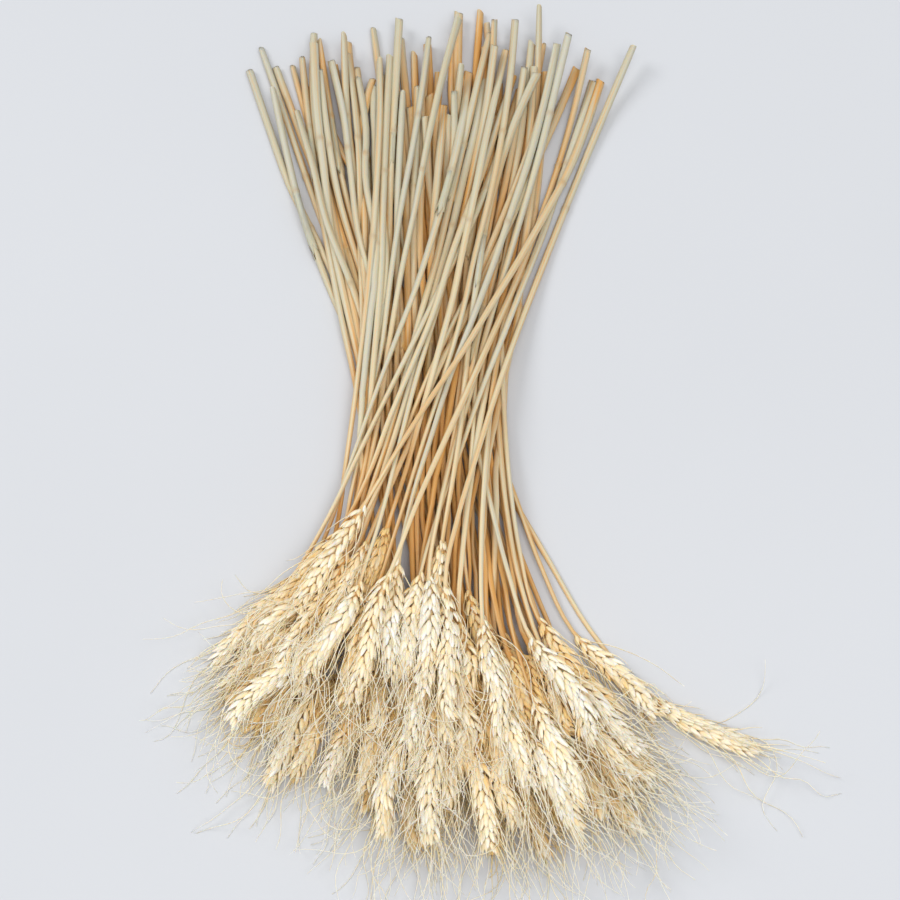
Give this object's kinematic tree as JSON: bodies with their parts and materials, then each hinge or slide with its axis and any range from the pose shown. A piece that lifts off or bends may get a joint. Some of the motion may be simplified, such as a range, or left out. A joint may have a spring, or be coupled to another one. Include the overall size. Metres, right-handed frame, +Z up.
{
  "type": "bundle of dried wheat",
  "caption": "Loose sheaf of cut, dried, bearded wheat, lying down: straight straws that cross at a waist and fan out, with long-awned ears at one end.",
  "frame": {"origin": "middle of the bundle's outline, on the surface that it lies on", "axes": "+Y along the straws, from the beards to the cut ends; +X to the right; +Z up"},
  "size_m": [0.3756, 0.5632, 0.0477],
  "materials": {
    "straw": "satin",
    "husk": "matte",
    "awn": "satin"
  },
  "bodies": {
    "root": {"wheat_stalk_01": "straw", "wheat_stalk_02": "straw", "wheat_stalk_03": "straw", "wheat_stalk_04": "straw", "wheat_stalk_05": "straw", "wheat_stalk_06": "straw", "wheat_stalk_07": "straw", "wheat_stalk_08": "straw", "wheat_stalk_09": "straw", "wheat_stalk_10": "straw", "wheat_stalk_11": "straw", "wheat_stalk_12": "straw", "wheat_stalk_13": "straw", "wheat_stalk_14": "straw", "wheat_stalk_15": "straw", "wheat_stalk_16": "straw", "wheat_stalk_17": "straw", "wheat_stalk_18": "straw", "wheat_stalk_19": "straw", "wheat_stalk_20": "straw", "wheat_stalk_21": "straw", "wheat_stalk_22": "straw", "wheat_stalk_23": "straw", "wheat_stalk_24": "straw", "wheat_stalk_25": "straw", "wheat_stalk_26": "straw", "wheat_stalk_27": "straw", "wheat_stalk_28": "straw", "wheat_stalk_29": "straw", "wheat_stalk_30": "straw", "wheat_stalk_31": "straw", "wheat_stalk_32": "straw", "wheat_stalk_33": "straw", "wheat_stalk_34": "straw", "wheat_stalk_35": "straw", "wheat_stalk_36": "straw", "wheat_stalk_37": "straw", "wheat_stalk_38": "straw", "wheat_stalk_39": "straw", "wheat_stalk_40": "straw", "wheat_stalk_41": "straw", "wheat_stalk_42": "straw", "wheat_stalk_43": "straw", "wheat_stalk_44": "straw", "wheat_stalk_45": "straw", "wheat_stalk_46": "straw", "wheat_stalk_47": "straw", "wheat_stalk_48": "straw", "wheat_stalk_49": "straw", "wheat_stalk_50": "straw", "wheat_stalk_51": "straw", "wheat_stalk_52": "straw", "wheat_stalk_53": "straw", "wheat_stalk_54": "straw", "wheat_stalk_55": "straw", "wheat_stalk_56": "straw", "wheat_stalk_57": "straw", "wheat_stalk_58": "straw", "wheat_stalk_59": "straw", "wheat_stalk_60": "straw"}
  },
  "joints": []
}
